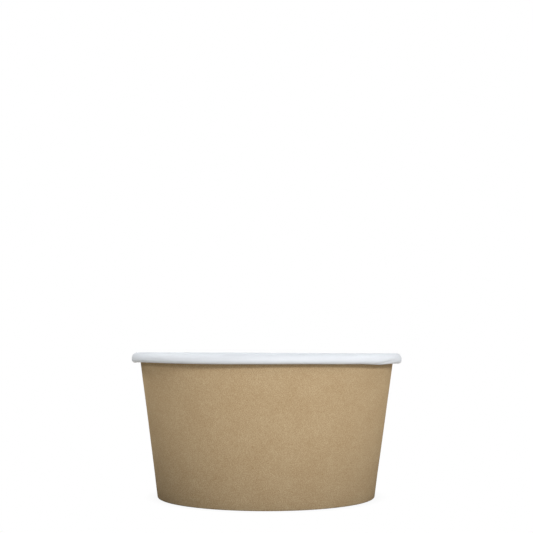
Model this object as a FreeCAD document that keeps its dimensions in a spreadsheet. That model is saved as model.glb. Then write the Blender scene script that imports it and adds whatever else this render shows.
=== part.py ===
import FreeCAD, Part
import math
import os

import Sketcher
from FreeCAD import Placement, Rotation, Vector

# A rolled-rim paper soup cup: a lapped side wall of lined board, and a base disc whose turned-down
# skirt is gripped in the wall's hem. Lengths are millimetres. The origin is the centre of the
# standing ring, +Z points up through the mouth and the side seam is at the back, on +Y.

# name, value, what it is
DIMENSIONS = [
    ("rim_diameter", 115.0, "outside of the rolled rim, the size its lids are made for"),
    ("base_diameter", 91.5, "outside of the wall where it meets the table"),
    ("wall_top_diameter", 107.2, "outside of the wall level with the underside of the roll"),
    ("cup_height", 60.4, "table to the top of the roll"),
    ("wall_board", 0.42, "thickness of the side wall's lined board"),
    ("base_board", 0.36, "thickness of the base disc's lined board"),
    ("roll_height", 4.1, "top of the roll to its underside"),
    ("roll_shoulder", 2.4, "radius from the top of the roll to its outer side"),
    ("roll_belly", 1.3, "radius from the outer side to the underside"),
    ("roll_return", 1.9, "radius from the underside back up beside the wall"),
    ("roll_tuck", 1.3, "radius of the tucked-in end, inside the roll"),
    ("hem_height", 5.9, "top edge of the hem that is folded up inside the foot"),
    ("fold_radius", 0.05, "inside radius of the two creases of the fold"),
    ("base_level", 7.2, "upper face of the base disc, where the soup stands"),
    ("disc_corner", 1.0, "outside radius between the disc and its turned-down skirt"),
    ("skirt_gap", 0.3, "space below the edge of the skirt, inside the fold"),
    ("lap_angle", 10.0, "degrees of the circle where the outer end lies on the inner end"),
    ("ramp_length", 2.7, "distance over which the outer end climbs on to the inner end"),
    ("ramp_depth", 0.38, "height of that climb"),
    ("lap_bottom", 1.0, "lower edge of the lap, notched clear of the table"),
    ("lap_top", 56.8, "upper edge of the lap, notched clear of the roll"),
    ("lap_bite", 0.1, "how far the glued lap is sunk into the board it lies on"),
    ("step_at", 2.0, "degrees from the middle of the lap to the inner end's cut edge"),
    ("step_depth", 0.36, "how much of that cut edge shows inside the cup, beside the slot"),
    ("step_bottom", 8.5, "lower end of the slot, just above the disc"),
    ("step_top", 56.5, "upper end of the slot, just below the roll"),
]
# The wall's angle from upright, and where each face of the wall and hem would meet the table.
DERIVED = [
    ("wall_lean", "=atan((wall_top_diameter - base_diameter) / 2 / (cup_height - roll_height))"),
    ("kraft_foot", "=base_diameter / 2"),
    ("white_foot", "=base_diameter / 2 - wall_board / cos(wall_lean)"),
    ("hem_foot", "=base_diameter / 2 - (2 * wall_board + base_board) / cos(wall_lean)"),
]
SHEET = "dimensions"
size = {name: value for name, value, _ in DIMENSIONS}
rise = size["cup_height"] - size["roll_height"]
lean = math.atan((size["wall_top_diameter"] - size["base_diameter"]) / 2 / rise)
foot = {
    "kraft_foot": size["base_diameter"] / 2,
    "white_foot": size["base_diameter"] / 2 - size["wall_board"] / math.cos(lean),
    "hem_foot": size["base_diameter"] / 2
    - (2 * size["wall_board"] + size["base_board"]) / math.cos(lean),
}

# Sketcher's numbers for a curve's points, and for a sketch's own axes and origin.
START, END, CENTRE = 1, 2, 3
X_AXIS, Y_AXIS = -1, -2
ORIGIN = (-1, 1)

doc = FreeCAD.newDocument("soup_cup")
sheet = doc.addObject("Spreadsheet::Sheet", SHEET)
for row, (name, value, meaning) in enumerate(DIMENSIONS, 1):
    sheet.set(f"A{row}", name)
    sheet.set(f"B{row}", str(value))
    sheet.setAlias(f"B{row}", name)
    sheet.set(f"C{row}", meaning)
for row, (name, formula) in enumerate(DERIVED, len(DIMENSIONS) + 1):
    sheet.set(f"A{row}", name)
    sheet.set(f"B{row}", formula)
    sheet.setAlias(f"B{row}", name)
doc.recompute()


def new_body(name):
    body = doc.addObject("PartDesign::Body", name)
    body.Label = name
    body.Placement = Placement(Vector(0, 0, 0), Rotation())
    return body


def new_sketch(body, name, plane):
    """An empty sketch flat on one of the body's own origin planes."""
    sketch = body.newObject("Sketcher::SketchObject", name)
    origin_plane = next(feature for feature in body.Origin.OriginFeatures if feature.Role == plane)
    sketch.AttachmentSupport = [(origin_plane, "")]
    sketch.MapMode = "FlatFace"
    return sketch


def fix(sketch, *terms):
    sketch.addConstraint(Sketcher.Constraint(*terms))


def dimension(sketch, label, formula, *terms):
    """A constraint with a value, named and bound to the sheet."""
    index = sketch.addConstraint(Sketcher.Constraint(*terms))
    sketch.renameConstraint(index, label)
    sketch.setExpression(f"Constraints.{label}", formula)


def segment(sketch, start, end):
    return sketch.addGeometry(Part.LineSegment(Vector(*start, 0), Vector(*end, 0)))


def arc(sketch, centre, radius, start, end):
    """An anticlockwise arc between two angles."""
    circle = Part.Circle(Vector(*centre, 0), Vector(0, 0, 1), radius)
    return sketch.addGeometry(Part.ArcOfCircle(circle, start, end))


def polar(centre, radius, angle):
    return centre[0] + radius * math.cos(angle), centre[1] + radius * math.sin(angle)


def draw_face(sketch, path, offset):
    """One face of a board in section: a chain of tangent edges, offset to the right of the path.

    Each step of the path is a name with a line's two ends, or with an arc's centre, radius and the
    angles it turns from and to. Gives each edge's number, first point and last point by name.
    """
    edges = {}
    for label, *shape in path:
        if len(shape) == 2:
            (x0, y0), (x1, y1) = shape
            scale = offset / math.hypot(x1 - x0, y1 - y0)
            dx, dy = (y1 - y0) * scale, (x0 - x1) * scale
            edges[label] = (segment(sketch, (x0 + dx, y0 + dy), (x1 + dx, y1 + dy)), START, END)
            continue
        centre, radius, begin, finish = shape
        if finish > begin:
            edges[label] = (arc(sketch, centre, radius + offset, begin, finish), START, END)
        else:
            edges[label] = (arc(sketch, centre, radius - offset, finish, begin), END, START)
    chain = list(edges.values())
    for (before, _, last), (after, first, _) in zip(chain, chain[1:]):
        fix(sketch, "Tangent", before, last, after, first)
    return edges


def pair_faces(sketch, path, one, other):
    """Keeps the two faces of a board parallel: lines alongside, arcs about one centre."""
    for label, *shape in path:
        if len(shape) == 2:
            fix(sketch, "Parallel", one[label][0], other[label][0])
        else:
            fix(sketch, "Coincident", one[label][0], CENTRE, other[label][0], CENTRE)


def close_end(sketch, point, facing):
    """The cut edge of a board: a line between the ends of its two faces."""
    ends = [sketch.getPoint(*at) for at in (point, facing)]
    edge = segment(sketch, *[(end.x, end.y) for end in ends])
    fix(sketch, "Coincident", edge, START, *point)
    fix(sketch, "Coincident", edge, END, *facing)
    return edge


def leaning_guide(sketch, label, face):
    """A construction line up one face of the wall, from where it would meet the table."""
    reach = 10.0
    top = foot[face] + reach * math.tan(lean), reach
    guide = segment(sketch, (foot[face], 0.0), top)
    sketch.setConstruction(guide, True)
    fix(sketch, "PointOnObject", guide, START, X_AXIS)
    fix(sketch, "DistanceY", *ORIGIN, guide, END, reach)
    dimension(sketch, f"{label}_foot", f"{SHEET}.{face}", "DistanceX", *ORIGIN, guide, START, foot[face])
    dimension(sketch, f"{label}_lean", f"{SHEET}.wall_lean", "Angle", guide, START, Y_AXIS, START, lean)
    return guide


def leaning_strip(sketch, label, face, sides, levels):
    """A strip up one face of the wall with its ends cut square.

    Each side is the dimension it lies at and its direction from the face, -1 inwards or 1 outwards.
    """
    guide = leaning_guide(sketch, label, face)
    low, high = levels
    corners = []
    for (depth, way), heights in zip(sides, ((low, high), (high, low))):
        for height in heights:
            out = foot[face] + size[height] * math.tan(lean) + way * size[depth] / math.cos(lean)
            corners.append((out, size[height]))
    edges = [segment(sketch, corners[i], corners[(i + 1) % 4]) for i in range(4)]
    for i in range(4):
        fix(sketch, "Coincident", edges[i], END, edges[(i + 1) % 4], START)
    for side, (depth, _) in zip((0, 2), sides):
        fix(sketch, "Parallel", edges[side], guide)
        fix(sketch, "Perpendicular", edges[side + 1], edges[0])
        distance = "Distance", edges[side], START, guide, size[depth]
        dimension(sketch, f"{label}_side_{side}", f"{SHEET}.{depth}", *distance)
    for point, level in ((START, low), (END, high)):
        height = "DistanceY", *ORIGIN, edges[0], point, size[level]
        dimension(sketch, f"{label}_{level}", f"{SHEET}.{level}", *height)


def spin(body, kind, label, sketch, angle):
    """A solid or a cut swept round the cup's own axis."""
    feature = body.newObject(f"PartDesign::{kind}", label)
    feature.Profile = sketch
    feature.ReferenceAxis = (sketch, ["V_Axis"])
    feature.Angle = 360
    if angle:
        feature.Angle = size[angle]
        feature.setExpression("Angle", f"{SHEET}.{angle}")
    body.Tip = feature
    doc.recompute()
    return feature


def long_edge(shape, degrees, face, depth, level):
    """The name of the edge up the wall that passes this angle round the cup, depth and height."""
    out = foot[face] + level * math.tan(lean) + depth / math.cos(lean)
    on_edge = Part.Vertex(*polar((0, 0), out, math.radians(degrees)), level)
    gaps = [edge.distToShape(on_edge)[0] for edge in shape.Edges]
    return f"Edge{gaps.index(min(gaps)) + 1}"


def slope_off(body, label, base, edge, across, along):
    """Bevels one edge: a little off the cut face and a long way along the sheet."""
    feature = body.newObject("PartDesign::Chamfer", label)
    feature.Base = (base, [edge])
    feature.ChamferType = "Two distances"
    feature.Size = size[across]
    feature.Size2 = size[along]
    feature.setExpression("Size", f"{SHEET}.{across}")
    feature.setExpression("Size2", f"{SHEET}.{along}")
    body.Tip = feature
    doc.recompute()
    return feature


# Side wall: one blank of board. In section it starts at the cut edge of the hem, goes down and under
# the foot, up the wall and outwards round the roll. White face first, kraft face beside it.
side_wall = new_body("side_wall")
section = new_sketch(side_wall, "board_section", "XZ_Plane")

crease = size["fold_radius"]
bend = crease + size["wall_board"]
outer_fold = foot["white_foot"] + bend * math.tan(lean) - crease / math.cos(lean), bend
inner_fold = outer_fold[0] - (size["base_board"] - 2 * crease) / math.cos(lean), bend
hem_low = polar(inner_fold, crease, math.pi - lean)
hem_high = hem_low[0] + (size["hem_height"] - hem_low[1]) * math.tan(lean), size["hem_height"]

top = size["cup_height"]
under = top - size["roll_height"]
rim = size["rim_diameter"] / 2
shoulder = rim - size["roll_shoulder"], top - size["roll_shoulder"]
white_top = foot["white_foot"] + top * math.tan(lean)
crown_radius = (shoulder[0] - white_top) * math.cos(lean) / (1 - math.sin(lean))
crown = shoulder[0], top - crown_radius
belly = rim - size["roll_belly"], under + size["roll_belly"]
back = belly[0], under + size["roll_return"]
tuck = back[0] - size["roll_return"] + size["roll_tuck"], back[1]

quarter = math.pi / 2
path = [
    ("hem", hem_high, hem_low),
    ("inner_fold", inner_fold, crease, math.pi - lean, 3 * quarter),
    ("foot", polar(inner_fold, crease, -quarter), polar(outer_fold, crease, -quarter)),
    ("outer_fold", outer_fold, crease, -quarter, -lean),
    ("wall", polar(outer_fold, crease, -lean), polar(crown, crown_radius, math.pi - lean)),
    ("crown", crown, crown_radius, math.pi - lean, quarter),
    ("shoulder", shoulder, size["roll_shoulder"], quarter, 0),
    ("side", (rim, shoulder[1]), (rim, belly[1])),
    ("belly", belly, size["roll_belly"], 0, -quarter),
    ("return", back, size["roll_return"], -quarter, -math.pi),
    ("tuck", tuck, size["roll_tuck"], math.pi, quarter),
]
white = draw_face(section, path, 0)
kraft = draw_face(section, path, size["wall_board"])
pair_faces(section, path, white, kraft)

hem_start = white["hem"][:2]
tuck_end = white["tuck"][0], white["tuck"][2]
hem_edge = close_end(section, hem_start, kraft["hem"][:2])
tuck_edge = close_end(section, tuck_end, (kraft["tuck"][0], kraft["tuck"][2]))
fix(section, "Perpendicular", hem_edge, white["hem"][0])
fix(section, "PointOnObject", white["tuck"][0], CENTRE, tuck_edge)
fix(section, "Vertical", tuck_edge)

fix(section, "Horizontal", white["foot"][0])
fix(section, "PointOnObject", *kraft["foot"][:2], X_AXIS)
fix(section, "Equal", white["inner_fold"][0], white["outer_fold"][0])
fix(section, "Parallel", white["hem"][0], white["wall"][0])
fix(section, "Vertical", white["crown"][0], CENTRE, white["shoulder"][0], CENTRE)
fix(section, "Vertical", white["side"][0])
fix(section, "Vertical", white["belly"][0], CENTRE, white["return"][0], CENTRE)
fix(section, "Horizontal", white["return"][0], CENTRE, white["tuck"][0], CENTRE)

wall_guide = leaning_guide(section, "wall", "kraft_foot")
fix(section, "PointOnObject", wall_guide, START, kraft["wall"][0])
fix(section, "Parallel", wall_guide, kraft["wall"][0])

crown_end = white["crown"][0], white["crown"][2]
belly_end = white["belly"][0], white["belly"][2]
thickness = "Distance", hem_edge, size["wall_board"]
slot = "Distance", *hem_start, white["wall"][0], size["base_board"]
rim_radius = "DistanceX", *ORIGIN, *white["side"][:2], rim
height = "DistanceY", *ORIGIN, *crown_end, top
roll = "DistanceY", *belly_end, *crown_end, size["roll_height"]
hem_top = "DistanceY", *ORIGIN, *hem_start, size["hem_height"]
dimension(section, "board", f"{SHEET}.wall_board", *thickness)
dimension(section, "slot", f"{SHEET}.base_board", *slot)
dimension(section, "rim", f"{SHEET}.rim_diameter / 2", *rim_radius)
dimension(section, "height", f"{SHEET}.cup_height", *height)
dimension(section, "roll", f"{SHEET}.roll_height", *roll)
dimension(section, "hem_top", f"{SHEET}.hem_height", *hem_top)
for edge, alias in (
    ("outer_fold", "fold_radius"),
    ("shoulder", "roll_shoulder"),
    ("belly", "roll_belly"),
    ("return", "roll_return"),
    ("tuck", "roll_tuck"),
):
    radius = "Radius", white[edge][0], size[alias]
    dimension(section, f"{edge}_radius", f"{SHEET}.{alias}", *radius)

ring = spin(side_wall, "Revolution", "formed_board", section, None)

# The lap: the outer end of the blank lies one board thick on the inner end, up the wall outside
# and up the hem inside the foot. It climbs on to the inner end by a ramp and stops at a cut edge.
lap_section = new_sketch(side_wall, "lap_section", "YZ_Plane")
wall_lap = ("lap_bite", -1), ("wall_board", 1)
hem_lap = ("wall_board", -1), ("lap_bite", 1)
leaning_strip(lap_section, "wall_lap", "kraft_foot", wall_lap, ("lap_bottom", "lap_top"))
leaning_strip(lap_section, "hem_lap", "hem_foot", hem_lap, ("lap_bottom", "hem_height"))
lap = spin(side_wall, "Revolution", "lap", lap_section, "lap_angle")
lap.Midplane = True
doc.recompute()

ramp_end = 90 - size["lap_angle"] / 2
wall_edge = long_edge(lap.Shape, ramp_end, "kraft_foot", size["wall_board"], size["cup_height"] / 2)
wall_ramp = slope_off(side_wall, "wall_ramp", lap, wall_edge, "ramp_depth", "ramp_length")
hem_edge = long_edge(wall_ramp.Shape, ramp_end, "hem_foot", -size["wall_board"], size["hem_height"] / 2)
hem_ramp = slope_off(side_wall, "hem_ramp", wall_ramp, hem_edge, "ramp_depth", "ramp_length")

# The slot inside the cup, under the ramp: one side is the inner end's cut edge, and the other is the
# outer end sloping up over it. It is lofted between its outlines at the two ends.
def spoke(sketch, label, degrees, degrees_formula, reach, reach_formula):
    """A construction line out from the cup's axis."""
    tip = polar((0, 0), reach, math.radians(degrees))
    line = segment(sketch, (0, 0), tip)
    sketch.setConstruction(line, True)
    fix(sketch, "Coincident", line, START, *ORIGIN)
    angle = "Angle", X_AXIS, START, line, START, math.radians(degrees)
    dimension(sketch, f"{label}_angle", degrees_formula, *angle)
    dimension(sketch, f"{label}_reach", reach_formula, "Distance", line, reach)
    return line, tip


def slot_outline(label, height):
    """The slot across one height: where the slope starts, the deep corner, the lip of the cut edge."""
    outline = new_sketch(side_wall, label, "XY_Plane")
    outline.AttachmentOffset = Placement(Vector(0, 0, size[height]), Rotation())
    outline.setExpression(".AttachmentOffset.Base.z", f"{SHEET}.{height}")
    face = foot["white_foot"] + size[height] * math.tan(lean)
    face_formula = f"{SHEET}.white_foot + {SHEET}.{height} * tan({SHEET}.wall_lean)"
    clear, clear_formula = face - size["lap_bite"], f"{face_formula} - {SHEET}.lap_bite"
    deep, deep_formula = face + size["step_depth"], f"{face_formula} + {SHEET}.step_depth"
    slope = 90 - size["lap_angle"] / 2, f"90deg - {SHEET}.lap_angle / 2 * 1deg"
    cut = 90 - size["step_at"], f"90deg - {SHEET}.step_at * 1deg"
    slope_spoke, slope_tip = spoke(outline, "slope", *slope, clear, clear_formula)
    cut_spoke, cut_tip = spoke(outline, "cut", *cut, deep, deep_formula)
    lip = polar((0, 0), clear, math.radians(cut[0]))
    slope_side = segment(outline, slope_tip, cut_tip)
    cut_side = segment(outline, cut_tip, lip)
    open_side = segment(outline, lip, slope_tip)
    fix(outline, "Coincident", slope_side, START, slope_spoke, END)
    fix(outline, "Coincident", slope_side, END, cut_spoke, END)
    fix(outline, "Coincident", cut_side, START, slope_side, END)
    fix(outline, "Coincident", open_side, START, cut_side, END)
    fix(outline, "Coincident", open_side, END, slope_side, START)
    fix(outline, "PointOnObject", cut_side, END, cut_spoke)
    dimension(outline, "lip", clear_formula, "Distance", *ORIGIN, cut_side, END, clear)
    return outline


slot_low = slot_outline("slot_low", "step_bottom")
slot_high = slot_outline("slot_high", "step_top")
slot_cut = side_wall.newObject("PartDesign::SubtractiveLoft", "slot")
slot_cut.Profile = slot_low
slot_cut.Sections = [slot_high]
slot_cut.Ruled = True
side_wall.Tip = slot_cut

# Base disc: one round of lined board, white face up, its edge turned down as a skirt between the
# wall and the hem. In section it starts at the skirt's cut edge and runs up and in to the axis.
base_disc = new_body("base_disc")
disc_section = new_sketch(base_disc, "disc_section", "XZ_Plane")

corner = size["disc_corner"]
level = size["base_level"]
skirt_low = size["wall_board"] + size["skirt_gap"]
corner_height = level - corner
skirt_bottom = foot["white_foot"] + skirt_low * math.tan(lean), skirt_low
middle_x = foot["white_foot"] + corner_height * math.tan(lean) - corner / math.cos(lean)
disc_turn = middle_x, corner_height
disc_path = [
    ("skirt", skirt_bottom, polar(disc_turn, corner, -lean)),
    ("corner", disc_turn, corner, -lean, quarter),
    ("disc", polar(disc_turn, corner, quarter), (0.0, level)),
]
disc_white = draw_face(disc_section, disc_path, 0)
disc_kraft = draw_face(disc_section, disc_path, -size["base_board"])
pair_faces(disc_section, disc_path, disc_white, disc_kraft)

skirt_start = disc_white["skirt"][:2]
disc_end = disc_white["disc"][0], disc_white["disc"][2]
skirt_edge = close_end(disc_section, skirt_start, disc_kraft["skirt"][:2])
disc_axis = close_end(disc_section, disc_end, (disc_kraft["disc"][0], disc_kraft["disc"][2]))
fix(disc_section, "Perpendicular", skirt_edge, disc_white["skirt"][0])
fix(disc_section, "PointOnObject", disc_axis, START, Y_AXIS)
fix(disc_section, "PointOnObject", disc_axis, END, Y_AXIS)
fix(disc_section, "Horizontal", disc_white["disc"][0])

skirt_guide = leaning_guide(disc_section, "skirt", "white_foot")
fix(disc_section, "PointOnObject", skirt_guide, START, disc_white["skirt"][0])
fix(disc_section, "Parallel", skirt_guide, disc_white["skirt"][0])

board = "Distance", skirt_edge, size["base_board"]
upper_face = "DistanceY", *ORIGIN, *disc_end, level
skirt_level = "DistanceY", *ORIGIN, *skirt_start, skirt_low
corner_radius = "Radius", disc_white["corner"][0], corner
dimension(disc_section, "board", f"{SHEET}.base_board", *board)
dimension(disc_section, "level", f"{SHEET}.base_level", *upper_face)
dimension(disc_section, "skirt_low", f"{SHEET}.wall_board + {SHEET}.skirt_gap", *skirt_level)
dimension(disc_section, "corner_radius", f"{SHEET}.disc_corner", *corner_radius)

spin(base_disc, "Revolution", "formed_disc", disc_section, None)

doc.recompute()
os.makedirs("parts", exist_ok=True)
for item in doc.Objects:
    if "Invalid" in item.State or "Error" in item.State:
        raise RuntimeError(f"{item.Name} did not recompute: {item.State}")
for sketch in (section, lap_section, slot_low, slot_high, disc_section):
    if not sketch.FullyConstrained:
        raise RuntimeError(f"{sketch.Name} is not fully constrained")
for body in (side_wall, base_disc):
    shape = body.Shape
    if shape.isNull() or not shape.isValid() or len(shape.Solids) != 1:
        raise RuntimeError(f"{body.Label} is not one valid solid")
    shape.exportStep(f"parts/{body.Label}.step")
    print(f"{body.Label}: {shape.Volume:.1f} mm3")
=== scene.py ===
"""The looks of a kraft soup cup: its lapped and rolled side wall, its base disc, and a plain studio."""

import math

import bmesh
import bpy
import numpy as np
from mathutils import Matrix, Vector


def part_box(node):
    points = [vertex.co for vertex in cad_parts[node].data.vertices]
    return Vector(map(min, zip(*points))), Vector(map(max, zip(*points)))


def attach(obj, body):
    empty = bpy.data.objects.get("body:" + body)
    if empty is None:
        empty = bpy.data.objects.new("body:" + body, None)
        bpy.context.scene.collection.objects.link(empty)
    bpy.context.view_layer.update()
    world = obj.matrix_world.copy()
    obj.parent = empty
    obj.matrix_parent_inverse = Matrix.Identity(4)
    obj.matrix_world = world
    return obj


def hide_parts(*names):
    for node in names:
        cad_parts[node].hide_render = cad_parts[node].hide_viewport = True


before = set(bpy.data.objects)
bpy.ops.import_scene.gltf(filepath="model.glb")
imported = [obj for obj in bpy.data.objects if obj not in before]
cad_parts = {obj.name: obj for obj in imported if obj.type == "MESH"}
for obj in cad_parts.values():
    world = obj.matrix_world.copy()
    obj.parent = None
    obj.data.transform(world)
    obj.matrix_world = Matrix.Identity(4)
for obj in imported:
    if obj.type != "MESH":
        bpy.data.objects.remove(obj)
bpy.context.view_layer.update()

# ---- Side wall ------------------------------------------------------------------------------------
# One fan-shaped blank of board, brown kraft outside and white lined inside, wrapped into a cone with
# its two ends lapped and heat-sealed at the back. Its top edge is rolled outwards over a hot die, so
# the rim shows the white side, and its bottom edge is folded in and up and knurled against the base.
MM = 0.001
rim_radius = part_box("side_wall")[1].x
cup_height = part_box("side_wall")[1].z
wall_board = 0.42 * MM
base_board = 0.36 * MM
foot_radius = 45.75 * MM
neck_radius = 53.6 * MM
hem_height = 5.9 * MM
fold_bend = 0.05 * MM
roll_height = 4.1 * MM
roll_shoulder = 2.4 * MM
roll_belly = 1.3 * MM
roll_return = 1.9 * MM
roll_tuck = 1.3 * MM
lean = math.atan((neck_radius - foot_radius) / (cup_height - roll_height))
quarter = math.pi / 2


def run(start, end, steps):
    """A straight stretch of a board's white face in section, with the way towards its kraft face."""
    along = np.linspace(0, 1, steps + 1)[:, None]
    start, end = np.array(start), np.array(end)
    direction = (end - start) / np.linalg.norm(end - start)
    outwards = np.array([direction[1], -direction[0]])
    return start + along * (end - start), np.repeat(outwards[None], steps + 1, axis=0)


def turn(centre, radius, begin, finish, steps):
    """A bend of a board's white face in section. Clockwise ones have the kraft face inside."""
    angle = np.linspace(begin, finish, steps + 1)
    spoke = np.stack([np.cos(angle), np.sin(angle)], 1)
    return np.array(centre) + radius * spoke, spoke * (1 if finish > begin else -1)


def polar(centre, radius, angle):
    """The point at this angle on an arc."""
    return centre[0] + radius * math.cos(angle), centre[1] + radius * math.sin(angle)


def white_at(height):
    """Radius of the cone's white face at one height."""
    return foot_radius + height * math.tan(lean) - wall_board / math.cos(lean)


outer_fold = white_at(fold_bend + wall_board) - fold_bend / math.cos(lean), fold_bend + wall_board
inner_fold = outer_fold[0] - (base_board - 2 * fold_bend) / math.cos(lean), outer_fold[1]
hem_low = polar(inner_fold, fold_bend, math.pi - lean)
hem_high = hem_low[0] + (hem_height - hem_low[1]) * math.tan(lean), hem_height
crown_x = rim_radius - roll_shoulder
crown_radius = (crown_x - white_at(cup_height)) * math.cos(lean) / (1 - math.sin(lean))
crown = crown_x, cup_height - crown_radius
belly = rim_radius - roll_belly, cup_height - roll_height + roll_belly
back = belly[0], cup_height - roll_height + roll_return
tuck = back[0] - roll_return + roll_tuck, back[1]
hem_stretches = [
    run(hem_high, hem_low, 8),
    turn(inner_fold, fold_bend, math.pi - lean, 3 * quarter, 4),
    run(polar(inner_fold, fold_bend, -quarter), polar(outer_fold, fold_bend, -quarter), 1),
    turn(outer_fold, fold_bend, -quarter, -lean, 5),
]
cone = run(polar(outer_fold, fold_bend, -lean), polar(crown, crown_radius, math.pi - lean), 14)
rise_to_crown = turn(crown, crown_radius, math.pi - lean, quarter, 8)
roll_outside = [
    turn((crown_x, cup_height - roll_shoulder), roll_shoulder, quarter, 0, 10),
    run((rim_radius, cup_height - roll_shoulder), (rim_radius, belly[1]), 2),
    turn(belly, roll_belly, 0, -quarter, 10),
]
roll_inside = [
    turn(back, roll_return, -quarter, -math.pi, 6),
    turn(tuck, roll_tuck, math.pi, quarter, 5),
]


def steps_in(stretches):
    """How many rows of the mesh these stretches add."""
    return sum(len(points) - 1 for points, _ in stretches)


first_of_wall = steps_in(hem_stretches)
first_of_roll = first_of_wall + steps_in([cone])
roll_top = first_of_roll + steps_in([rise_to_crown])
roll_bottom = roll_top + steps_in(roll_outside)


def join(stretches):
    """One path from stretches that share their end points."""
    points = np.concatenate([stretches[0][0]] + [p[1:] for p, _ in stretches[1:]])
    outwards = np.concatenate([stretches[0][1]] + [o[1:] for _, o in stretches[1:]])
    length = np.concatenate([[0], np.cumsum(np.linalg.norm(np.diff(points, axis=0), axis=1))])
    return points, outwards, length


path, kraftwards, length = join(hem_stretches + [cone, rise_to_crown] + roll_outside + roll_inside)

# Degrees round the cup run anticlockwise from its right. These are the inner end's cut edge, the ramp
# where the outer end climbs over it, and the outer end's own cut edge.
inner_cut, ramp_start, ramp_end, outer_cut = 88.0, 445.0, 448.1, 455.0
column_width = 0.6
degrees = np.concatenate([
    np.arange(inner_cut, ramp_start, column_width),
    np.linspace(ramp_start, ramp_end, 9)[:-1],
    np.linspace(ramp_end, outer_cut, 9),
])
theta = np.radians(degrees)


def smooth(x, low, high):
    """0 below low, 1 above high, and an even rise between."""
    t = np.clip((x - low) / (high - low), 0, 1)
    return t * t * (3 - 2 * t)


def bump(x, middle, width):
    """1 at the middle and 0 from a width away, in degrees round the cup."""
    away = np.abs((x - middle + 180) % 360 - 180)
    return 1 - smooth(away, 0, width)


# How far the sheet leaves its true section, along its own thickness, towards the kraft side. In the
# lap the outer end lies one board further out, but in the fold it is pressed half a board inwards.
rows = np.arange(len(path))[:, None]
around = degrees[None, :]
height = path[:, 1:2]
fold_top = 1.1 * MM
pressed_in = 1.5 * (height < fold_top)
lap = wall_board * smooth(around, ramp_start, ramp_end) * (1 - pressed_in)

# The wall draws in slightly below its neck and wavers a little, between the foot and the roll.
on_wall = smooth(height, 1.5 * MM, 12 * MM) * (rows >= first_of_wall)
on_wall = on_wall * (1 - smooth(rows, first_of_roll - 2, first_of_roll))
drawn_in = 0.08 * MM * (1 - smooth(height, 35 * MM, 54 * MM))
oval = 0.05 * MM * np.sin(np.radians(2 * around + 70)) * (height / cup_height)
waver = 0.045 * MM * np.sin(np.radians(5 * around + 20) + height / (17 * MM))
ripple = 0.03 * MM * np.sin(np.radians(9 * around - 50) - height / (9 * MM))
sway = (oval + waver + ripple - drawn_in) * on_wall

# The tool that presses the hem leaves fine upright ribs in it.
ribs, rib_depth = 120, 0.05 * MM
on_hem = (rows <= steps_in(hem_stretches[:1])) * smooth(height, 0.9 * MM, 2 * MM)
knurl = rib_depth * np.cos(np.radians(ribs * around)) * on_hem

# Uneven rolling: the lower half of the roll sinks a little in places, and its top is pressed down in
# others. Each entry gives the middle and the half-width in degrees from the front, and how far in
# millimetres.
front = 270.0
under_roll = smooth(rows, roll_top + 3, roll_bottom - 1)
sinks = [
    (-80, 15, 0.22), (-63, 12, -0.06), (-22, 38, 0.25), (12, 32, 0.09),
    (38, 24, 0.13), (53, 13, 0.41), (63, 7, 0.10), (77, 16, 0.24),
]
sag = -MM * sum(depth * bump(around, front + middle, width) for middle, width, depth in sinks)
flats = (-70, 30, 0.10), (35, 38, 0.20), (140, 62, 0.14)
flat_top = -MM * sum(depth * bump(around, front + middle, width) for middle, width, depth in flats)
over_roll = smooth(height, cup_height - 2.6 * MM, cup_height - 0.6 * MM) * (rows < roll_bottom)

# Creases where the board was squeezed against the rolling die, as dents in the roll's outer side.
# Each runs from one end to the other, given in degrees from the front and millimetres above the
# table, and has a depth and a width in millimetres.
rim_row = slice(roll_top, roll_bottom + 1)
across_roll = length[:, None] - length[roll_top]
along_rim = rim_radius * np.radians(around - front)


def roll_crease(start, end, depth, width):
    """A soft valley along a line on the outer side of the roll, or a ridge if the depth is negative.

    It is deepest half way along, and has a quarter of its depth at its ends.
    """
    ends = []
    for angle, level in (start, end):
        down = np.interp(-level * MM, -path[rim_row, 1], across_roll[rim_row, 0])
        ends.append(np.array((rim_radius * math.radians(angle), down)))
    run_along, run_down = ends[1] - ends[0]
    from_start, below_start = along_rim - ends[0][0], across_roll - ends[0][1]
    share = (from_start * run_along + below_start * run_down) / (run_along**2 + run_down**2)
    share = np.clip(share, 0, 1)
    off_line = np.hypot(from_start - share * run_along, below_start - share * run_down)
    swell = 0.25 + 3 * share * (1 - share)
    return depth * MM * np.exp(-((off_line / (width * MM)) ** 2)) * swell


creases = [
    ((-65, 58.75), (-52, 58.85), -0.02, 0.45),
    ((-54, 58.85), (-45, 59.25), -0.02, 0.45),
    ((-57, 58.1), (-42, 56.95), 0.08, 0.6),
    ((-42, 56.85), (-32, 56.7), 0.05, 0.35),
    ((-67, 57.1), (-57, 56.5), 0.06, 0.4),
    ((-19, 57.0), (-13, 56.9), 0.05, 0.3),
    ((-5, 57.45), (2, 56.85), 0.05, 0.3),
    ((21, 56.75), (33, 56.9), 0.03, 0.3),
    ((48, 56.4), (61, 57.2), 0.30, 0.45),
    ((56, 57.1), (67, 57.4), 0.24, 0.6),
    ((56, 58.4), (68, 58.3), -0.02, 0.5),
]
dents = sum(roll_crease(*crease) for crease in creases)
shift = lap + sway + knurl + dents

# The roll is drawn in slightly all round, and the cup leans a little to the right above its foot, so
# its rim isn't quite level. The wall gives a little, so it goes further over than its rim tips.
squeeze = 0.16 * MM * smooth(rows, roll_top - 4, roll_top + 8)
radius = path[:, 0:1] + kraftwards[:, 0:1] * shift - squeeze
tip, further_over = 0.0037, 1.35
slope = -tip * path[:, 0:1] * np.cos(theta)[None, :] * smooth(height, 0, cup_height - roll_height)
lift = sag * under_roll + flat_top * over_roll + slope
push_right = further_over * tip * (height - hem_height) * (height > hem_height)


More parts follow.
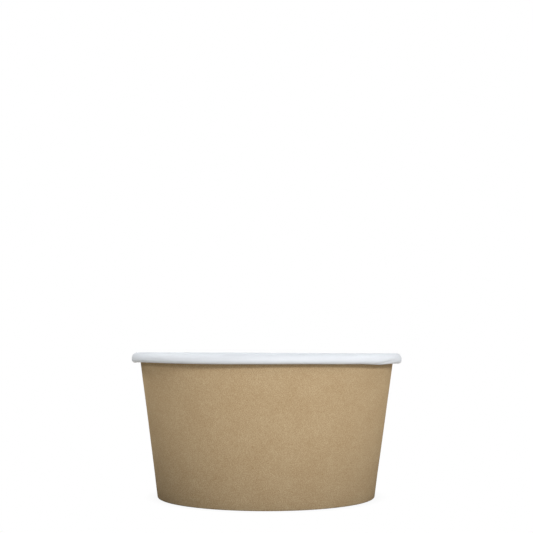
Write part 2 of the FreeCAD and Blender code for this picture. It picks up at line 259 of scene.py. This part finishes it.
def wrapped(thickness):
    """The points of one face of the sheet, wrapped round the cup."""
    r = radius + kraftwards[:, 0:1] * thickness
    z = height + kraftwards[:, 1:2] * (shift + thickness) + lift
    return np.stack([r * np.cos(theta) + push_right, r * np.sin(theta), z + 0 * r], 2)


# The same points on the flat blank, a sector of a ring, which fixes the run of the fibres.
apex = white_at(0) / math.sin(lean)
slant = (apex + length - length[first_of_wall])[:, None]
fan = (theta - math.radians(front))[None, :] * math.sin(lean)
flat_wall = np.stack([slant * np.sin(fan), slant * np.cos(fan)], 2)

KRAFT, WHITE, CUT = 0, 1, 2


def board_mesh(name, white, kraft, flat, closed):
    """A sheet from its two faces, each rows by columns of points, with its cut edges closed.

    A closed sheet goes all the way round, and its last row is the middle of a disc.
    """
    count, across = white.shape[:2]
    number = np.arange(count * across).reshape(count, across)
    over = count * across
    quads, kinds, flats = [], [], []

    def add(kind, corners, spots):
        quads.append(corners)
        kinds.append(kind)
        flats.extend(spots)

    for row in range(count - 1):
        for column in range(across if closed else across - 1):
            beside = (column + 1) % across
            ring = (row, column), (row, beside), (row + 1, beside), (row + 1, column)
            spots = [flat[at] for at in ring]
            add(WHITE, [number[at] for at in reversed(ring)], spots[::-1])
            add(KRAFT, [number[at] + over for at in ring], spots)
    edges = [[(0, column % across) for column in range(across + closed)]]
    if not closed:
        edges.append([(count - 1, column) for column in reversed(range(across))])
        edges.append([(row, 0) for row in reversed(range(count))])
        edges.append([(row, across - 1) for row in range(count)])
    through = np.array([0, wall_board])
    for edge in edges:
        for here, there in zip(edge, edge[1:]):
            corners = [number[here], number[there], number[there] + over, number[here] + over]
            add(CUT, corners, [flat[here], flat[there], flat[there] + through, flat[here] + through])

    mesh = bpy.data.meshes.new(name)
    points = np.concatenate([white.reshape(-1, 3), kraft.reshape(-1, 3)])
    mesh.from_pydata(points.tolist(), [], quads)
    mesh.polygons.foreach_set("material_index", kinds)
    mesh.polygons.foreach_set("use_smooth", [True] * len(quads))
    blank = mesh.uv_layers.new(name="flat_blank")
    blank.uv.foreach_set("vector", np.array(flats, np.float32).ravel())
    surface = bmesh.new()
    surface.from_mesh(mesh)
    bmesh.ops.remove_doubles(surface, verts=surface.verts, dist=0.0001 * MM)
    bmesh.ops.recalc_face_normals(surface, faces=surface.faces)
    surface.to_mesh(mesh)
    surface.free()
    mesh.set_sharp_from_angle(angle=math.radians(50))
    return mesh


def put(name, mesh, finishes, *nodes):
    """Shows a mesh in place of CAD nodes."""
    piece = bpy.data.objects.new(name, mesh)
    bpy.context.scene.collection.objects.link(piece)
    for finish in finishes:
        mesh.materials.append(finish)
    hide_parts(*nodes)
    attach(piece, "root")
    return piece


def node(tree, kind, sockets=None, **settings):
    """A shader node. A socket takes a value, or another node or output to link from."""
    made = tree.nodes.new(kind)
    for setting, value in settings.items():
        setattr(made, setting, value)
    for name, value in (sockets or {}).items():
        socket = next(s for i, s in enumerate(made.inputs) if s.enabled and name in (s.name, i))
        if isinstance(value, bpy.types.Node):
            value = next(output for output in value.outputs if output.enabled)
        if isinstance(value, bpy.types.NodeSocket):
            tree.links.new(value, socket)
        else:
            socket.default_value = value
    return made


def new_finish(name, roughness, specular):
    """A material: its tree, its shader, and the flat blank's coordinates in millimetres."""
    material = bpy.data.materials.new(name)
    material.use_nodes = True
    tree = material.node_tree
    shader = tree.nodes["Principled BSDF"]
    shader.inputs["Roughness"].default_value = roughness
    shader.inputs["Specular IOR Level"].default_value = specular
    blank = node(tree, "ShaderNodeUVMap", uv_map="flat_blank")
    scale = {0: blank, 1: (1 / MM, 1 / MM, 1 / MM)}
    flat = node(tree, "ShaderNodeVectorMath", scale, operation="MULTIPLY")
    return material, tree, shader, flat


def streaks(tree, flat, long, wide, turned, detail=2.0):
    """Noise whose grains have this length and width in millimetres, lying at this angle."""
    lie = {"Vector": flat, "Rotation": (0, 0, math.radians(turned))}
    drawn = {0: node(tree, "ShaderNodeMapping", lie), 1: (1 / long, 1 / wide, 1)}
    place = node(tree, "ShaderNodeVectorMath", drawn, operation="MULTIPLY")
    noise = {"Vector": place, "Scale": 1.0, "Detail": detail, "Roughness": 0.6}
    return node(tree, "ShaderNodeTexNoise", noise, noise_dimensions="2D")


def between(tree, value, low, high, start=0.3, stop=0.7):
    """Spreads a value that runs from start to stop, as noises mostly do here, over a new range."""
    ends = {"From Min": start, "From Max": stop, "To Min": low, "To Max": high}
    return node(tree, "ShaderNodeMapRange", {"Value": value, **ends})


def product(tree, *values):
    """Values of the tree multiplied together."""
    total = values[0]
    for value in values[1:]:
        total = node(tree, "ShaderNodeMath", {0: total, 1: value}, operation="MULTIPLY")
    return total


def colour_mix(tree, amount, one, other):
    """The first colour where the amount is 0, the other where it is 1, and a blend in between."""
    return node(tree, "ShaderNodeMix", {"Factor": amount, "A": one, "B": other}, data_type="RGBA")


def set_surface(tree, shader, colour, relief, depth):
    """Feeds the shader its colour and its fine relief."""
    tree.links.new(next(out for out in colour.outputs if out.enabled), shader.inputs["Base Color"])
    raised = {"Height": relief, "Strength": 1.0, "Distance": depth}
    tree.links.new(node(tree, "ShaderNodeBump", raised).outputs[0], shader.inputs["Normal"])


def kraft_finish(name):
    """Unbleached board, uncoated: brown fibres, cloudy formation, open pores and a few dark specks."""
    material, tree, shader, flat = new_finish(name, 0.85, 0.04)
    clouds = streaks(tree, flat, 12, 9, 10)
    flocs = streaks(tree, flat, 2.8, 2.2, 35)
    grain = streaks(tree, flat, 1.2, 0.7, 70, 3)
    strands = streaks(tree, flat, 1.8, 0.35, -25, 3)
    pores = streaks(tree, flat, 0.36, 0.28, 15, 1)
    specks = streaks(tree, flat, 0.8, 0.3, 40, 1)
    tone = product(
        tree,
        between(tree, clouds, 0.976, 1.024),
        between(tree, flocs, 0.978, 1.022),
        between(tree, grain, 0.952, 1.048),
        between(tree, strands, 0.969, 1.031),
        between(tree, pores, 0.85, 1.15),
        between(tree, specks, 1.0, 0.72, 0.73, 0.80),
    )
    paleness = between(tree, tone, 0.0, 1.0, 0.75, 1.25)
    colour = colour_mix(tree, paleness, (0.329, 0.207, 0.099, 1), (0.549, 0.438, 0.277, 1))
    relief = product(tree, between(tree, strands, 0.0, 1.0), between(tree, grain, 0.4, 1.0))
    set_surface(tree, shader, colour, relief, 0.02 * MM)
    return material


def lining_finish(name):
    """White board under a thin moisture-proof film: satin, faintly blue, a little uneven."""
    material, tree, shader, flat = new_finish(name, 0.55, 0.4)
    clouds = streaks(tree, flat, 9, 7, 15)
    peel = streaks(tree, flat, 1.6, 1.1, 60)
    strands = streaks(tree, flat, 1.8, 0.4, -20, 3)
    tone = product(tree, between(tree, clouds, 0.99, 1.01), between(tree, strands, 0.992, 1.008))
    paleness = between(tree, tone, 0.0, 1.0, 0.95, 1.05)
    colour = colour_mix(tree, paleness, (0.642, 0.673, 0.712, 1), (0.710, 0.744, 0.786, 1))
    relief = node(tree, "ShaderNodeMath", {0: peel, 1: strands}, operation="ADD")
    set_surface(tree, shader, colour, relief, 0.008 * MM)
    shader.inputs["Sheen Weight"].default_value = 0.15
    shader.inputs["Sheen Roughness"].default_value = 0.4
    uneven = between(tree, clouds, 0.52, 0.58)
    tree.links.new(uneven.outputs[0], shader.inputs["Roughness"])
    return material


def cut_finish(name):
    """The cut edge of the board: brown plies lying along the sheet."""
    material, tree, shader, flat = new_finish(name, 0.9, 0.2)
    plies = streaks(tree, flat, 2.5, 0.12, 0, 2)
    layer = between(tree, plies, 0.0, 1.0)
    colour = colour_mix(tree, layer, (0.40, 0.285, 0.165, 1), (0.61, 0.49, 0.34, 1))
    set_surface(tree, shader, colour, plies, 0.03 * MM)
    return material


kraft_face = kraft_finish("kraft_face")
white_lining = lining_finish("white_lining")
cut_board = cut_finish("cut_board")
wall_mesh = board_mesh("side_wall_board", wrapped(0), wrapped(wall_board), flat_wall, False)
wall = put("side_wall_board", wall_mesh, (kraft_face, white_lining, cut_board), "side_wall")

# ---- Base disc ------------------------------------------------------------------------------------
# One round of thinner board, white lined on top, pressed over a former so that its edge turns down
# into a skirt. The skirt is sealed between the wall and the hem, so the disc stands off the table.
base_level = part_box("base_disc")[1].z
skirt_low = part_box("base_disc")[0].z
corner = 1.0 * MM
disc_turn = white_at(base_level - corner) - corner / math.cos(lean), base_level - corner
skirt_foot = white_at(skirt_low), skirt_low
disc_stretches = [
    run(skirt_foot, polar(disc_turn, corner, -lean), 8),
    turn(disc_turn, corner, -lean, quarter, 7),
    run(polar(disc_turn, corner, quarter), (0, base_level), 36),
]
disc_path, disc_outwards, disc_length = join(disc_stretches)
disc_kraftwards = -disc_outwards
disc_theta = np.radians(np.arange(0, 360, 1.5))[None, :]
reach = (disc_length[-1] - disc_length)[:, None]

# Pressed board: its middle bows up, it twists a little between middle and edge, and the bend puckers
# where the edge had to shrink.
out_from_middle = disc_path[:, 0:1] / disc_path[:, 0].max()
crowned = 0.12 * MM * (1 - smooth(out_from_middle, 0, 1))
halfway = smooth(out_from_middle, 0, 0.6) * (1 - smooth(out_from_middle, 0.75, 0.97))
bow = crowned + 0.05 * MM * np.sin(2 * disc_theta + 1) * halfway
mid_bend = steps_in(disc_stretches[:1]) + steps_in(disc_stretches[1:2]) // 2
from_bend = reach - reach[mid_bend]
puckers, pucker_depth, pucker_width = 80, 0.02 * MM, 1.6 * MM
near_bend = np.exp(-((from_bend / pucker_width) ** 2))
pucker = pucker_depth * np.sin(puckers * disc_theta + 2 * np.sin(5 * disc_theta)) * near_bend


def pressed(thickness):
    """The points of one face of the disc."""
    push = thickness + pucker
    r = disc_path[:, 0:1] + disc_kraftwards[:, 0:1] * push
    z = disc_path[:, 1:2] + disc_kraftwards[:, 1:2] * push + bow
    r[-1] = 0
    return np.stack([r * np.cos(disc_theta), r * np.sin(disc_theta), z + 0 * r], 2)


flat_disc = np.stack([reach * np.cos(disc_theta), reach * np.sin(disc_theta)], 2)
disc_mesh = board_mesh("base_disc_board", pressed(0), pressed(base_board), flat_disc, True)
disc = put("base_disc_board", disc_mesh, (kraft_face, white_lining, cut_board), "base_disc")

# ---- Studio ---------------------------------------------------------------------------------------
# A plain white floor and surround, with soft lamps close round the cup. The floor also shines a warm
# ring of light up at the cup's lower half, and has a little painted contact shade round its foot.
floor_mesh = bpy.data.meshes.new("floor")
floor_size = 3.0
floor_corners = [(-1, -1, 0), (1, -1, 0), (1, 1, 0), (-1, 1, 0)]
floor_mesh.from_pydata([Vector(spot) * floor_size for spot in floor_corners], [], [(0, 1, 2, 3)])
floor = bpy.data.objects.new("floor", floor_mesh)
bpy.context.scene.collection.objects.link(floor)
floor_finish = bpy.data.materials.new("floor_white")
floor_finish.use_nodes = True
floor_tree = floor_finish.node_tree
floor_shader = floor_tree.nodes["Principled BSDF"]
floor_shader.inputs["Base Color"].default_value = (0.15, 0.15, 0.15, 1)
floor_shader.inputs["Roughness"].default_value = 1.0
floor_shader.inputs["Specular IOR Level"].default_value = 0.0
floor_shader.inputs["Emission Color"].default_value = (1, 0.95, 0.865, 1)

# The ring of light comes up between the first two distances from the cup's middle, and fades out
# between the last two.
weakest, strongest = 0.05, 1.02
ring_begins, ring_full, ring_fades, ring_ends = 70 * MM, 115 * MM, 150 * MM, 190 * MM
floor_place = node(floor_tree, "ShaderNodeNewGeometry").outputs["Position"]
distance = node(floor_tree, "ShaderNodeVectorMath", {0: floor_place}, operation="LENGTH")
ring = product(
    floor_tree,
    between(floor_tree, distance, weakest, strongest, ring_begins, ring_full),
    between(floor_tree, distance, 1, 0, ring_fades, ring_ends),
)
floor_tree.links.new(ring.outputs[0], floor_shader.inputs["Emission Strength"])

# To look at, the floor is an even white glow with a painted contact shade, darkened where the cup's
# foot hides it.
contact_reach, contact_darkest = 6 * MM, 0.90
openness = node(floor_tree, "ShaderNodeAmbientOcclusion", {"Distance": contact_reach}).outputs["AO"]
painted_contact_shade = between(floor_tree, openness, contact_darkest, 1, 0, 1)
white_floor = node(floor_tree, "ShaderNodeEmission", {"Strength": painted_contact_shade})
floor_seen = node(floor_tree, "ShaderNodeLightPath").outputs["Is Camera Ray"]
floor_look = node(floor_tree, "ShaderNodeMixShader", {0: floor_seen, 1: floor_shader, 2: white_floor})
floor_output = floor_tree.nodes["Material Output"].inputs["Surface"]
floor_tree.links.new(floor_look.outputs[0], floor_output)
floor_mesh.materials.append(floor_finish)

# The surround is white to look at, a third as bright in the sheen of the board, and lights it hardly
# at all.
in_sheen, on_board = 0.35, 0.02
world = bpy.data.worlds.new("surround")
bpy.context.scene.world = world
world.use_nodes = True
sky = world.node_tree
sky.nodes.clear()
rays = node(sky, "ShaderNodeLightPath").outputs
shone = node(sky, "ShaderNodeMath", {0: rays["Is Glossy Ray"], 1: in_sheen}, operation="MULTIPLY")
white = node(sky, "ShaderNodeMath", {0: rays["Is Camera Ray"], 1: shone}, operation="MAXIMUM")
strength = node(sky, "ShaderNodeMix", {"Factor": white, "A": on_board, "B": 1.0}, data_type="FLOAT")
surround = node(sky, "ShaderNodeBackground", {"Color": (1, 1, 1, 1), "Strength": strength})
node(sky, "ShaderNodeOutputWorld", {"Surface": surround})

# The key stands high at the front right. Small lamps close in light the sides, and three larger ones
# fill the front, two of them low. Two beyond the rim's ends pick out its upper edge, two stand behind,
# and one hangs over the mouth.
# Each lamp: degrees round from the front to the right, distance out, height, width, depth and power.
lamps = {
    "key": (20, 0.60, 0.30, 0.20, 0.08, 1.98),
    "left_side": (-60, 0.18, 0.118, 0.06, 0.03, 0.051),
    "left_front": (-15, 0.18, 0.118, 0.06, 0.03, 0.036),
    "right_side": (70, 0.18, 0.118, 0.06, 0.03, 0.055),
    "low_front": (0, 0.30, 0.10, 0.20, 0.08, 0.106),
    "low_right": (45, 0.30, 0.10, 0.20, 0.08, 0.073),
    "front_high": (5, 0.25, 0.30, 0.20, 0.08, 0.078),
    "left_high": (-98, 0.15, 0.175, 0.04, 0.04, 0.138),
    "right_high": (95, 0.15, 0.175, 0.04, 0.04, 0.080),
    "behind": (180, 0.50, 0.40, 0.40, 0.30, 0.25),
    "low_behind": (180, 0.30, 0.035, 0.22, 0.04, 0.70),
    "over_mouth": (0, 0.0, 0.085, 0.06, 0.06, 0.016),
}
upper_wall = Vector((0, 0, 45 * MM))
for name, (turned, out, up, width, depth, power) in lamps.items():
    turned = math.radians(turned)
    light = bpy.data.lights.new(name, "AREA")
    light.shape = "RECTANGLE"
    light.size = width
    light.size_y = depth
    light.energy = power
    lamp = bpy.data.objects.new(name, light)
    lamp.location = out * math.sin(turned), -out * math.cos(turned), up
    lamp.rotation_mode = "QUATERNION"
    lamp.rotation_quaternion = (upper_wall - lamp.location).to_track_quat("-Z", "Y")
    lamp.visible_camera = False
    bpy.context.scene.collection.objects.link(lamp)

# The camera stands just under half a metre in front, level with the rim, and looks up a little.
camera_data = bpy.data.cameras.new("camera")
camera_data.lens = 73.86
camera_data.sensor_width = 36
camera_data.clip_start = 0.01
camera = bpy.data.objects.new("camera", camera_data)
camera_place = 0.18 * MM, -469.9 * MM, 60.97 * MM
tilt_up = 0.0775
pitch = Matrix.Rotation(quarter + tilt_up, 4, "X")
camera.matrix_world = Matrix.Translation(camera_place) @ pitch
bpy.context.scene.collection.objects.link(camera)
bpy.context.scene.camera = camera
bpy.context.scene.view_settings.view_transform = "Standard"
